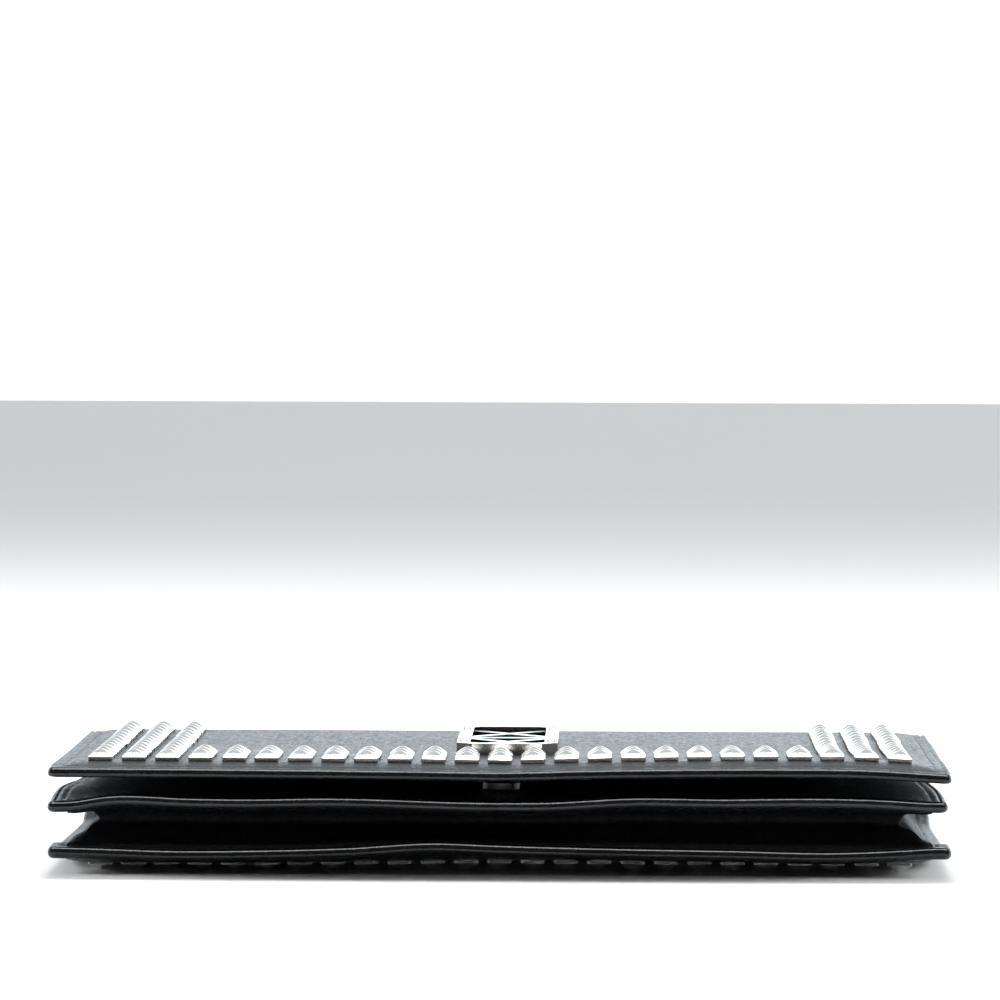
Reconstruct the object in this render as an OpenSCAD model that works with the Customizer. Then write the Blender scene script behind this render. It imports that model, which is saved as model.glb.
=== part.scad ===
// Studded leather flap wallet with an accordion body, lying flat on its back panel.
// X runs along the fold, -Y is the flap's free edge, the fold is at +Y and +Z is up.

/* [Wallet] */
// Width along the fold
width = 225; // [190:1:250]
// Depth from the flap's free edge to the back of the fold
depth = 140; // [130:1:160]
// Radius of the two free corners of each panel
corner_r = 3; // [2:0.5:6]
// Width of the turned edge that is stitched round each panel
turned_edge = 5; // [4:0.5:6]
// Rounding of the fold's two long edges
fold_r = 8; // [6:0.5:9]

/* [Heights] */
// Outer face of the back panel
back_z = 3; // [3:0.1:4]
// Lower lip of the back panel's turned edge
back_lip_z = 4.8; // [4.4:0.1:5.2]
// Inner face of the back panel
back_top_z = 7.6; // [7.2:0.1:7.8]
// Inner face of the front panel
front_z = 16; // [15.8:0.1:16.4]
// Outer face of the front panel
front_top_z = 18.9; // [18.7:0.1:19.2]
// Inner face of the flap
flap_z = 24; // [23.8:0.1:24.2]
// Upper lip of the flap's turned edge
flap_lip_z = 25.9; // [25.6:0.1:26.2]
// Outer face of the flap
flap_top_z = 27.15; // [27:0.05:27.4]

/* [Studs] */
// Side of a pyramid stud
stud_side = 6.2; // [5:0.1:7]
// Distance between stud centres
stud_pitch = 8.4; // [7.6:0.1:8.4]
// Height of a stud's upright rim
stud_rim = 0.9; // [0.6:0.1:1.2]
// Full height of a stud
stud_h = 3; // [2.4:0.1:3]
// Side of the small flat at a stud's tip
stud_tip = 0.8; // [0.4:0.1:1.2]
// Studs along the free edge
stud_columns = 25; // [21:2:25]
// Studs from the free edge to the fold
stud_rows = 14; // [10:1:14]
// Width of the studded border, in studs
border = 3; // [1:1:4]
// Distance from the free edge to the first stud
stud_margin = 10; // [9:0.5:12]

/* [Ornament] */
// Width of the openwork ornament
ornament_w = 26; // [22:1:32]
// Length of the openwork ornament
ornament_l = 67; // [50:1:70]
// Width of its bars
ornament_bar = 3.4; // [2.6:0.2:4]
// Thickness of its bars
ornament_h = 3; // [2:0.1:3.2]
// Distance from the free edge to the ornament
ornament_gap = 41; // [38:1:48]
// Distance of the ornament from the middle of the flap
ornament_x = 1.3; // [-2:0.1:2]

/* [Hidden] */
$fn = 48;
front_y = -depth / 2;
back_y = depth / 2;
hinge_y = back_y - fold_r;
edge_in = turned_edge;
bevel_in = 8;

flap_lining_t = 0.7;
flap_board_t = 0.8;
flap_padding_t = 0.6;
flap_board_z = flap_z + flap_lining_t;
flap_padding_z = flap_board_z + flap_board_t;
flap_leather_z = flap_padding_z + flap_padding_t;

back_padding_z = back_z + 1;
back_board_z = back_padding_z + 1.4;
back_lining_z = back_board_z + 1;

front_lining_t = 0.8;
front_board_z = front_z + front_lining_t;
front_leather_z = front_board_z + 1.3;
front_end_y = back_y - 14;

fold_leather_t = 1.5;
fold_lining_t = 1;

gusset_in = 4;
gusset_fold = 9;
gusset_t = 1.9;
gusset_mid_z = (back_top_z + front_z) / 2;
gusset_x = width / 2 - gusset_in;
gusset_y = front_y + gusset_in;

card_t = 0.35;
card_step = 12;
card_w = width - 33;
card_l = 92;
card_y = front_y + 18;

pocket_w = width - 33;
pocket_y = front_y + 13.2;
pocket_end_y = back_y - 16;
pocket_leaf_t = 0.5;
pocket_z = 10.3;
pocket_gap = 1.2;

zip_y = pocket_end_y;
zip_l = 176;
tape_t = 0.6;
tape_w = 1.9;
row_gap = 0.5;
row_h = 0.85;
row_t = 1;
tooth = 1.4;
slider_x = -zip_l / 2 + 12;
slider_l = 9;
slider_y = zip_y + tape_t + row_t;
slider_clear = 0.25;
pin_r = 0.45;
pin_y = slider_y + 2.4;
pin_play = 0.08;
pull_l = 8.2;
pull_t = 1;

ring_x = width / 2 - 12.5;
ring_y = back_y - 8;
ring_z = 9.5;
ring_wire_r = 0.75;
ring_w = 6.6;
ring_l = 5.2;
ring_play = 0.08;
tab_l = 8.4;
tab_out = 2.6;
tab_w = 4.6;
tab_t = 3.1;

snap_y = front_y + 35;
snap_r = 5;
snap_shank_r = 1.5;
snap_nipple_r = 2;
snap_hole_r = 2.2;
snap_base_z = 21;
snap_socket_z = 21.4;
snap_nipple_z = 23;
cap_t = 0.5;

ornament_y = front_y + ornament_gap;
ornament_cut = 4;
cross_y = 15;
cross_angle = 50;
rivet_in = 11;
rivet_r = 1.3;
rivet_shank_r = 0.7;
rivet_head = 0.8;
washer_r = 2.6;

stud_x0 = -(stud_columns - 1) * stud_pitch / 2;
stud_y0 = front_y + stud_margin + stud_side / 2;

// Every node of the wallet

// ---- Shared shapes ----

// Flat outline, centred on X, with round corners at the free edge
module outline(w, y0, y1, r) {
    translate([-w / 2 + r, y0]) square([w - 2 * r, y1 - y0]);
    translate([-w / 2, y0 + r]) square([w, y1 - y0 - r]);
    for (side = [-1, 1]) translate([side * (w / 2 - r), y0 + r]) circle(r);
}

// Flat layer between two heights
module layer(w, y0, y1, r, z0, z1) {
    translate([0, 0, z0]) linear_extrude(z1 - z0) outline(w, y0, y1, r);
}

// Layer that lies inside the turned edge of a panel
module inner_layer(y1, z0, z1) {
    layer(width - 2 * edge_in, front_y + edge_in, y1, corner_r / 2, z0, z1);
}

// Upright drilled disc
module disc(x, y, z0, z1, r, hole = 0) {
    translate([x, y, z0]) difference() {
        cylinder(h = z1 - z0, r = r);
        if (hole > 0) translate([0, 0, -1]) cylinder(h = z1 - z0 + 2, r = hole);
    }
}

// Upright hole
module drill(x, y, z0, z1, r) {
    translate([x, y, z0]) cylinder(h = z1 - z0, r = r);
}

// ---- Studs ----

function square_ring(side, z) =
    [for (c = [[-1, -1], [1, -1], [1, 1], [-1, 1]]) [c[0] * side / 2, c[1] * side / 2, z]];

// One pyramid stud with an upright rim and a flat tip, seated at z = 0 and pointing up
module stud() {
    polyhedron(
        points = concat(
            square_ring(stud_side, 0),
            square_ring(stud_side, stud_rim),
            square_ring(stud_tip, stud_h)
        ),
        faces = concat(
            [[0, 1, 2, 3], [11, 10, 9, 8]],
            [for (ring = [0, 4], i = [0 : 3])
                [ring + i, ring + 4 + i, ring + 4 + (i + 1) % 4, ring + (i + 1) % 4]]
        )
    );
}

function is_corner(col, row) =
    (col == 0 || col == stud_columns - 1) && (row == 0 || row == stud_rows - 1);

// Block of studs from the grid, the four outermost ones left out
module stud_block(cols, rows) {
    for (col = cols, row = rows) {
        if (!is_corner(col, row)) {
            translate([stud_x0 + col * stud_pitch, stud_y0 + row * stud_pitch, 0]) stud();
        }
    }
}

module stud_corners() {
    for (col = [0, stud_columns - 1], row = [0, stud_rows - 1]) {
        translate([stud_x0 + col * stud_pitch, stud_y0 + row * stud_pitch, 0]) stud();
    }
}

module left_studs() { stud_block([0 : border - 1], [0 : stud_rows - 1]); }
module right_studs() { stud_block([stud_columns - border : stud_columns - 1], [0 : stud_rows - 1]); }
module front_studs() { stud_block([border : stud_columns - border - 1], [0 : border - 1]); }
module on_flap() { color("silver") translate([0, 0, flap_top_z]) children(); }
module on_back() { color("silver") translate([0, 0, back_z]) mirror([0, 0, 1]) children(); }

module studs_flap_corners() { on_flap() stud_corners(); }
module studs_flap_left() { on_flap() left_studs(); }
module studs_flap_right() { on_flap() right_studs(); }
module studs_flap_front() { on_flap() front_studs(); }
module studs_back_corners() { on_back() stud_corners(); }
module studs_back_left() { on_back() left_studs(); }
module studs_back_right() { on_back() right_studs(); }
module studs_back_front() { on_back() front_studs(); }

// ---- Back panel ----

module back_leather() {
    color("#1b1b1d") difference() {
        hull() {
            layer(width, front_y, hinge_y, corner_r, back_lip_z, back_top_z);
            layer(width - 2 * bevel_in, front_y + bevel_in, hinge_y, corner_r, back_z, back_top_z);
        }
        inner_layer(hinge_y + 1, back_padding_z, back_top_z + 1);
    }
}

module back_padding() { color("#3a3a3a") inner_layer(hinge_y, back_padding_z, back_board_z); }
module back_board() { color("#8a7a5c") inner_layer(hinge_y, back_board_z, back_lining_z); }
module back_lining() { color("#232325") inner_layer(hinge_y, back_lining_z, back_top_z); }

// ---- Fold ----

// Section of the fold, set in from its outer face
module fold_outline(inset) {
    r = fold_r - inset;
    low = back_z + inset;
    high = flap_top_z - inset;
    translate([hinge_y, low + r]) square([r, high - low - 2 * r]);
    for (z = [low + r, high - r]) translate([hinge_y, z]) circle(r);
    translate([hinge_y - r, low]) square([r, high - low]);
}

module fold_shell(outer, inner) {
    rotate([90, 0, 90]) translate([0, 0, -width / 2]) linear_extrude(width) intersection() {
        difference() {
            fold_outline(outer);
            fold_outline(inner);
        }
        translate([hinge_y, 0]) square([fold_r + 1, flap_top_z + 1]);
    }
}

module spine_leather() { color("#1b1b1d") fold_shell(0, fold_leather_t); }
module spine_lining() { color("#232325") fold_shell(fold_leather_t, fold_leather_t + fold_lining_t); }

// ---- Gusset ----

// V section of the accordion, u inwards from its seam
module gusset_section() {
    polygon([
        [0, back_top_z], [gusset_t, back_top_z], [gusset_fold, gusset_mid_z],
        [gusset_t, front_z], [0, front_z], [gusset_fold - gusset_t, gusset_mid_z]
    ]);
}

module side_gusset(side) {
    color("#202022") intersection() {
        translate([side * gusset_x, front_end_y, 0]) mirror([side > 0 ? 1 : 0, 0, 0])
            rotate([90, 0, 0]) linear_extrude(front_end_y - gusset_y) gusset_section();
        linear_extrude(front_top_z) polygon([
            [side * gusset_x, gusset_y], [side * gusset_x, front_end_y],
            [side * (gusset_x - gusset_fold), front_end_y],
            [side * (gusset_x - gusset_fold), gusset_y + gusset_fold]
        ]);
    }
}

module gusset_left() { side_gusset(-1); }
module gusset_right() { side_gusset(1); }
module gusset_front() {
    color("#202022") intersection() {
        translate([-gusset_x, gusset_y, 0]) rotate([90, 0, 90])
            linear_extrude(2 * gusset_x) gusset_section();
        linear_extrude(front_top_z) polygon([
            [-gusset_x, gusset_y], [gusset_x, gusset_y],
            [gusset_x - gusset_fold, gusset_y + gusset_fold],
            [-gusset_x + gusset_fold, gusset_y + gusset_fold]
        ]);
    }
}

// ---- Card pockets, stepped on the back panel's lining ----

module card_pocket(n) {
    end_y = card_y + card_l - (n - 1) * card_step;
    color(n % 2 == 0 ? "#2a2a2d" : "#222224")
        layer(card_w, card_y, end_y, 2, back_top_z + (n - 1) * card_t, back_top_z + n * card_t);
}

module card_pocket_1() { card_pocket(1); }
module card_pocket_2() { card_pocket(2); }
module card_pocket_3() { card_pocket(3); }
module card_pocket_4() { card_pocket(4); }

// ---- Rings for the chain, in the two ends of the mouth ----

module ring_tab(side) {
    color("#1b1b1d") difference() {
        translate([side * (ring_x + tab_out) - tab_l / 2, ring_y - tab_w / 2, back_top_z])
            cube([tab_l, tab_w, tab_t]);
        translate([side * ring_x, ring_y + tab_w, ring_z]) rotate([90, 0, 0])
            cylinder(h = 2 * tab_w, r = ring_wire_r + ring_play);
    }
}

// D-shaped ring of round wire, its bar along Y and its bow towards the middle
module chain_ring(side) {
    half = ring_w / 2;
    bow_r = ring_wire_r - 0.05;
    color("silver") translate([side * ring_x, ring_y, ring_z]) mirror([side > 0 ? 1 : 0, 0, 0]) {
        rotate([90, 0, 0]) cylinder(h = ring_w + 2 * bow_r, r = ring_wire_r, center = true);
        for (y = [-half, half]) translate([0, y, 0]) rotate([0, 90, 0]) cylinder(h = ring_l, r = bow_r);
        translate([ring_l, 0, 0]) rotate([0, 0, -90]) rotate_extrude(angle = 180)
            translate([half, 0]) circle(bow_r);
    }
}

module ring_tab_left() { ring_tab(-1); }
module ring_tab_right() { ring_tab(1); }
module chain_ring_left() { chain_ring(-1); }
module chain_ring_right() { chain_ring(1); }

// ---- Zip pocket in the middle of the body ----

module pocket_leaf(z) {
    color("#2b2b2e") translate([-pocket_w / 2, pocket_y, z])
        cube([pocket_w, pocket_end_y - pocket_y, pocket_leaf_t]);
}

module zip_pocket_lower() { pocket_leaf(pocket_z - pocket_gap / 2 - pocket_leaf_t); }
module zip_pocket_upper() { pocket_leaf(pocket_z + pocket_gap / 2); }

module zip_tape(up) {
    color("#18181a") translate([-zip_l / 2 - 4, zip_y, pocket_z + up * (row_gap + tape_w) / 2 - tape_w / 2])
        cube([zip_l + 8, tape_t, tape_w]);
}

// One row of teeth: a spine with square teeth on its outer face
module zip_row(up) {
    low = pocket_z + up * (row_gap + row_h) / 2 - row_h / 2;
    color("silver") translate([-zip_l / 2, zip_y + tape_t, low]) {
        cube([zip_l, row_t * 0.5, row_h]);
        for (x = [0 : 2 * tooth : zip_l - tooth]) translate([x, 0, 0]) cube([tooth, row_t, row_h]);
    }
}

module zip_tape_lower() { zip_tape(-1); }
module zip_tape_upper() { zip_tape(1); }
module zip_teeth_lower() { zip_row(-1); }
module zip_teeth_upper() { zip_row(1); }

module zip_stops() {
    stop_w = 2;
    stop_h = 2 * row_h + row_gap;
    color("silver") for (x = [-zip_l / 2 - stop_w, zip_l / 2])
        translate([x, zip_y + tape_t, pocket_z - stop_h / 2]) cube([stop_w, row_t + 0.6, stop_h]);
}

// Slider: an outer plate with side walls, a thin neck between the rows and a keeper inside the pocket
module zip_slider() {
    plate_h = 2 * row_h + row_gap + 2 * slider_clear;
    wall = 0.6;
    plate_y = slider_y + slider_clear;
    neck_h = row_gap - 0.2;
    keeper_y = zip_y - 0.9;
    wall_y = zip_y + tape_t + slider_clear;
    lug_z = 1.35;
    color("silver") translate([slider_x, 0, pocket_z]) {
        translate([-slider_l / 2, plate_y, -plate_h / 2 - wall])
            cube([slider_l, 0.9, plate_h + 2 * wall]);
        for (side = [-1, 1]) translate([-slider_l / 2, wall_y, side * (plate_h + wall) / 2 - wall / 2])
            cube([slider_l, plate_y - wall_y + 0.2, wall]);
        for (side = [-1, 1]) translate([-1.1, plate_y + 0.5, side * lug_z - 0.35])
            cube([2.2, pin_y - plate_y + 0.3, 0.7]);
        translate([-1.5, keeper_y + 0.3, -neck_h / 2]) cube([3, plate_y - keeper_y, neck_h]);
        translate([-2.5, keeper_y, -0.4]) cube([5, 0.6, 0.8]);
        translate([0, pin_y, -lug_z]) cylinder(h = 2 * lug_z, r = pin_r);
    }
}

// Pull: a plate with an eye round the slider's pin
module zip_pull() {
    eye_h = 1.5;
    grip_l = 4.4;
    grip_h = 3.8;
    color("silver") translate([slider_x, pin_y, pocket_z]) difference() {
        union() {
            translate([0, 0, -eye_h / 2]) cylinder(h = eye_h, r = 1.1);
            translate([0, -pull_t / 2, -eye_h / 2]) cube([pull_l - 1.5, pull_t, eye_h]);
            translate([pull_l - grip_l, -pull_t / 2, -grip_h / 2]) cube([grip_l, pull_t, grip_h]);
        }
        translate([0, 0, -eye_h]) cylinder(h = 2 * eye_h, r = pin_r + pin_play);
    }
}

// ---- Front panel ----

module front_leather() {
    color("#1b1b1d") difference() {
        layer(width - 0.8, front_y, front_end_y, corner_r, front_z, front_top_z);
        layer(width - 2 * edge_in, front_y + edge_in, front_end_y - edge_in, corner_r / 2,
              front_z - 1, front_leather_z);
        drill(0, snap_y, front_z, front_top_z + 1, snap_shank_r);
    }
}

module front_board() {
    color("#8a7a5c") difference() {
        layer(width - 2 * edge_in, front_y + edge_in, front_end_y - edge_in, corner_r / 2,
              front_board_z, front_leather_z);
        drill(0, snap_y, front_z, front_top_z, snap_shank_r);
    }
}

module front_lining() {
    color("#232325") difference() {
        layer(width - 2 * edge_in, front_y + edge_in, front_end_y - edge_in, corner_r / 2,
              front_z, front_board_z);
        drill(0, snap_y, front_z - 1, front_top_z, snap_r - 1);
    }
}

// Male half of the press stud, on the front panel
module snap_stud() {
    color("silver") {
        disc(0, snap_y, front_top_z, snap_base_z, snap_r, snap_shank_r - 0.4);
        disc(0, snap_y, snap_base_z, snap_nipple_z, snap_nipple_r, snap_shank_r - 0.4);
    }
}

// Its post, riveted through the panel from behind
module snap_post() {
    color("silver") {
        disc(0, snap_y, front_z, front_board_z, snap_r - 1);
        disc(0, snap_y, front_board_z, front_top_z, snap_shank_r);
        disc(0, snap_y, front_top_z, snap_base_z, snap_shank_r - 0.4);
    }
}

// ---- Flap ----

module flap_leather() {
    color("#1b1b1d") difference() {
        hull() {
            layer(width, front_y, hinge_y, corner_r, flap_z, flap_lip_z);
            layer(width - 2 * bevel_in, front_y + bevel_in, hinge_y, corner_r, flap_z, flap_top_z);
        }
        inner_layer(hinge_y + 1, flap_z - 1, flap_leather_z);
        rivet_holes(flap_leather_z - 1, flap_top_z + 1, rivet_shank_r);
    }
}

module flap_padding() {
    color("#3a3a3a") difference() {
        inner_layer(hinge_y, flap_padding_z, flap_leather_z);
        drill(0, snap_y, flap_z, flap_top_z, snap_r);
        rivet_holes(flap_z, flap_top_z, washer_r);
    }
}

module flap_board() {
    color("#8a7a5c") difference() {
        inner_layer(hinge_y, flap_board_z, flap_padding_z);
        drill(0, snap_y, flap_z, flap_top_z, snap_shank_r);
    }
}

module flap_lining() {
    color("#232325") difference() {
        inner_layer(hinge_y, flap_z, flap_board_z);
        drill(0, snap_y, flap_z - 1, flap_top_z, snap_shank_r);
    }
}

// Female half of the press stud, under the flap
module snap_socket() {
    color("silver") difference() {
        disc(0, snap_y, snap_socket_z, flap_z, snap_r);
        drill(0, snap_y, snap_socket_z - 1, snap_nipple_z + 0.4, snap_hole_r);
    }
}

// Its cap, riveted through the board and lining, hidden under the flap's leather
module snap_cap() {
    color("silver") {
        disc(0, snap_y, flap_z, flap_padding_z, snap_shank_r);
        disc(0, snap_y, flap_padding_z, flap_padding_z + cap_t, snap_r);
    }
}

// ---- Ornament: a plain openwork lozenge frame, riveted through the flap ----

// Outline of the frame, its corners cut off
module ornament_outline(inset) {
    w = ornament_w / 2 - inset;
    y0 = ornament_y + inset;
    y1 = ornament_y + ornament_l - inset;
    c = max(ornament_cut - inset * (2 - sqrt(2)), 0.5);
    translate([ornament_x, 0]) polygon([
        [-w + c, y0], [w - c, y0], [w, y0 + c], [w, y1 - c],
        [w - c, y1], [-w + c, y1], [-w, y1 - c], [-w, y0 + c]
    ]);
}

module rivet_places() {
    x = ornament_w / 2 - ornament_bar / 2;
    for (side = [-1, 1], y = [ornament_y + rivet_in, ornament_y + ornament_l - rivet_in])
        translate([ornament_x + side * x, y, 0]) children();
}

module rivet_holes(z0, z1, r) {
    rivet_places() translate([0, 0, z0]) cylinder(h = z1 - z0, r = r);
}

module ornament_frame() {
    color("silver") difference() {
        translate([0, 0, flap_top_z]) linear_extrude(ornament_h) difference() {
            ornament_outline(0);
            ornament_outline(ornament_bar);
        }
        rivet_holes(flap_top_z - 1, flap_top_z + ornament_h + 1, rivet_shank_r);
    }
}

// Crossing diagonal bars inside the frame
module ornament_lattice() {
    mid = ornament_y + ornament_l / 2;
    lattice_bar = ornament_bar * 0.8;
    color("silver") translate([0, 0, flap_top_z]) linear_extrude(ornament_h * 0.75) intersection() {
        ornament_outline(ornament_bar);
        union() {
            for (side = [-1, 1], y = [mid - cross_y, mid + cross_y])
                translate([ornament_x, y]) rotate(side * cross_angle)
                    square([ornament_l, lattice_bar], center = true);
            translate([ornament_x, mid]) square([ornament_w, lattice_bar], center = true);
        }
    }
}

// Domed rivets with their shanks
module ornament_rivets() {
    top = flap_top_z + ornament_h;
    ball = (rivet_r * rivet_r + rivet_head * rivet_head) / (2 * rivet_head);
    color("silver") rivet_places() {
        translate([0, 0, top]) intersection() {
            translate([0, 0, rivet_head - ball]) sphere(ball);
            cylinder(h = rivet_head + 1, r = rivet_r);
        }
        translate([0, 0, flap_padding_z]) cylinder(h = top - flap_padding_z, r = rivet_shank_r);
    }
}

module ornament_washers() {
    color("silver") difference() {
        rivet_holes(flap_padding_z, flap_padding_z + cap_t, washer_r);
        rivet_holes(flap_padding_z - 1, flap_padding_z + 1, rivet_shank_r);
    }
}

back_leather();
back_padding();
back_board();
back_lining();
spine_leather();
spine_lining();
studs_back_corners();
studs_back_left();
studs_back_right();
studs_back_front();
gusset_left();
gusset_right();
gusset_front();
card_pocket_1();
card_pocket_2();
card_pocket_3();
card_pocket_4();
ring_tab_left();
ring_tab_right();
chain_ring_left();
chain_ring_right();
zip_pocket_lower();
zip_pocket_upper();
zip_tape_lower();
zip_tape_upper();
zip_teeth_lower();
zip_teeth_upper();
zip_stops();
zip_slider();
zip_pull();
front_leather();
front_board();
front_lining();
snap_stud();
snap_post();
flap_leather();
flap_padding();
flap_board();
flap_lining();
snap_socket();
snap_cap();
studs_flap_corners();
studs_flap_left();
studs_flap_right();
studs_flap_front();
ornament_frame();
ornament_lattice();
ornament_rivets();
ornament_washers();
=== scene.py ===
"""Studded leather flap wallet: its finished surfaces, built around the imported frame.

The wallet lies on its back panel. X runs along the fold, -Y is the flap's free edge, +Z is up.
Lengths are in millimetres until a mesh is made, then metres.
"""

import math

import bmesh
import bpy
import numpy as np
from mathutils import Matrix, Vector


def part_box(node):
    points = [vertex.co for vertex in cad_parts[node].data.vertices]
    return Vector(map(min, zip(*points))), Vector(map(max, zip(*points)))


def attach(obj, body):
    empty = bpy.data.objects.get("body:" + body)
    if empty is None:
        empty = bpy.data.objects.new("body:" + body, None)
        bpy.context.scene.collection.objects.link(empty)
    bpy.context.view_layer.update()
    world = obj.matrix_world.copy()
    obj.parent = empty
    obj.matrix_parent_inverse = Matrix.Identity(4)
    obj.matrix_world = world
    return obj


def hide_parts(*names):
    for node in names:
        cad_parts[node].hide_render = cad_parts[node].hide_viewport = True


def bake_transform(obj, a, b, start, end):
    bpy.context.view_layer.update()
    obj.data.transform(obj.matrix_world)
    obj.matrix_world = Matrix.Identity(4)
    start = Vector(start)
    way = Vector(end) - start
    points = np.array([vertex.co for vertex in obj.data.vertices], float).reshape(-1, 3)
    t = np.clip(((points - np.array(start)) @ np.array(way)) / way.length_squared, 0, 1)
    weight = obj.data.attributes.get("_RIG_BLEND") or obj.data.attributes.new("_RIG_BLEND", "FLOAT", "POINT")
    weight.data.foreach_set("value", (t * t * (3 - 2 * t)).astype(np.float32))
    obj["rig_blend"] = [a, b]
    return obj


MM = 0.001
rng = np.random.default_rng(11)
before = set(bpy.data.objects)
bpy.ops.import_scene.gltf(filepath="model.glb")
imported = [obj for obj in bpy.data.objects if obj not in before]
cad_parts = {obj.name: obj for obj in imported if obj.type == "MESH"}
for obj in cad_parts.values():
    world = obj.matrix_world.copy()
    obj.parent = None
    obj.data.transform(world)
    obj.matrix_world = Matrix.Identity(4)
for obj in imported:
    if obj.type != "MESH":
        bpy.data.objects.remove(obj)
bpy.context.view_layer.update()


def node_box(name):
    """Lowest and highest corner of a CAD node, in millimetres."""
    low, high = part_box(name)
    return np.array(low) / MM, np.array(high) / MM


# ---- Sizes, from the frame ----

flap_low, flap_high = node_box("flap_leather")
back_low, back_high = node_box("back_leather")
front_low, front_high = node_box("front_leather")
spine_low, spine_high = node_box("spine_leather")
lining_low, lining_high = node_box("flap_lining")
stud_low, stud_high = node_box("studs_flap_left")
corner_low, corner_high = node_box("studs_flap_corners")

HALF_WIDTH = flap_high[0]
FREE_Y = flap_low[1]
HINGE_Y = flap_high[1]
FOLD_RADIUS = spine_high[1] - HINGE_Y
EDGE_IN = HALF_WIDTH - lining_high[0]
PANEL_LENGTH = HINGE_Y - FREE_Y
CORNER_RADIUS = 2.0
# How far the rounded turned edges stand out past the CAD panels
EDGE_PROUD = 0.9
# How much lower the back panel's outer face hangs than in CAD
BACK_SWELL = 0.5
FOLD_THICKNESS = 2.5
# Inset, depth and width of the crease beside the turned edge and of the stitched groove
CREASE_IN = 1.75
CREASE_DEPTH = 0.34
CREASE_WIDTH = 0.24
STITCH_IN = 3.8
GROOVE_DEPTH = 0.2
GROOVE_WIDTH = 0.5

STUD_SIDE = 6.2
STUD_COLUMNS = 25
STUD_ROWS = 14
BORDER = 3
STUD_PITCH = (corner_high[0] - corner_low[0] - STUD_SIDE) / (STUD_COLUMNS - 1)
STUD_HEIGHT = stud_high[2] - stud_low[2]
STUD_X0 = corner_low[0] + STUD_SIDE / 2
STUD_Y0 = corner_low[1] + STUD_SIDE / 2


# ---- Small helpers ----


def smoothstep(t):
    t = np.clip(t, 0.0, 1.0)
    return t * t * (3 - 2 * t)


def unit(v):
    """Vectors of length 1, in the same directions."""
    return v / np.linalg.norm(v, axis=-1, keepdims=True)


def bell(distance, width):
    """Bell curve: 1 at distance 0, nearly 0 two widths away."""
    return np.exp(-((distance / width) ** 2))


def rounding(t):
    """Quarter round: 0 at t = 0, 1 from t = 1 on."""
    t = np.clip(t, 0.0, 1.0)
    return np.sqrt(1 - (1 - t) ** 2)


def through(points, x):
    """Smooth curve through (place, height) points, level past its ends."""
    places = np.array([p[0] for p in points], float)
    heights = np.array([p[1] for p in points], float)
    slopes = np.gradient(heights, places)
    x = np.clip(x, places[0], places[-1])
    i = np.clip(np.searchsorted(places, x) - 1, 0, len(places) - 2)
    step = places[i + 1] - places[i]
    t = (x - places[i]) / step
    h00 = 2 * t**3 - 3 * t**2 + 1
    h10 = t**3 - 2 * t**2 + t
    h01 = -2 * t**3 + 3 * t**2
    h11 = t**3 - t**2
    return (
        h00 * heights[i]
        + h10 * step * slopes[i]
        + h01 * heights[i + 1]
        + h11 * step * slopes[i + 1]
    )


def ripple(x, y, size, seed):
    """Soft irregular swell between about -1 and 1, with waves about `size` long."""
    r = np.random.default_rng(seed)
    total = 0.0
    for _ in range(5):
        angle = r.uniform(0, math.pi)
        k = 2 * math.pi / (size * r.uniform(0.7, 1.5))
        total = total + np.sin(k * (x * math.cos(angle) + y * math.sin(angle)) + r.uniform(0, 6.28))
    return total / 3.2


def new_object(name, vertices, faces, material):
    """Smooth mesh object from points in millimetres."""
    mesh = bpy.data.meshes.new(name)
    mesh.from_pydata((np.asarray(vertices, float) * MM).tolist(), [], faces)
    mesh.validate()
    mesh.shade_smooth()
    obj = bpy.data.objects.new(name, mesh)
    bpy.context.scene.collection.objects.link(obj)
    mesh.materials.append(material)
    return obj


def apply_modifiers(obj):
    graph = bpy.context.evaluated_depsgraph_get()
    graph.update()
    mesh = bpy.data.meshes.new_from_object(obj.evaluated_get(graph))
    obj.modifiers.clear()
    obj.data = mesh
    return obj


def quads_of(index, flip=False):
    """Quads between the neighbours in a grid of point numbers."""
    corners = [index[:-1, :-1], index[:-1, 1:], index[1:, 1:], index[1:, :-1]]
    quads = np.stack(corners, -1).reshape(-1, 4)
    return quads[:, ::-1] if flip else quads


def closed_sheet(outer, inner, flip=False):
    """Points and quads of a sheet between two grids of points, which meet along their rim.

    The third result says which of the points of both grids are used.
    """
    rows, columns = outer.shape[:2]
    count = rows * columns
    index = np.arange(count).reshape(rows, columns)
    rim = np.ones((rows, columns), bool)
    rim[1:-1, 1:-1] = False
    inner_index = np.where(rim, index, index + count)
    faces = np.concatenate([quads_of(index, flip), quads_of(inner_index, not flip)])
    used = np.unique(faces)
    renumbered = np.zeros(2 * count, int)
    renumbered[used] = np.arange(len(used))
    points = np.concatenate([outer.reshape(-1, 3), inner.reshape(-1, 3)])
    return points[used], renumbered[faces], used


def joined(copies, shape_faces):
    """Points and faces of many copies of one shape, each given by its points."""
    size = len(copies[0])
    faces = [
        tuple(i + size * number for i in face)
        for number in range(len(copies))
        for face in shape_faces
    ]
    return np.concatenate(copies), faces


def place(obj, body, slot, *nodes):
    """Rides on a body and stands for CAD nodes, which it hides; `slot` is not used."""
    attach(obj, body)
    if nodes:
        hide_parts(*nodes)
    return obj


# ---- Materials ----


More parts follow.
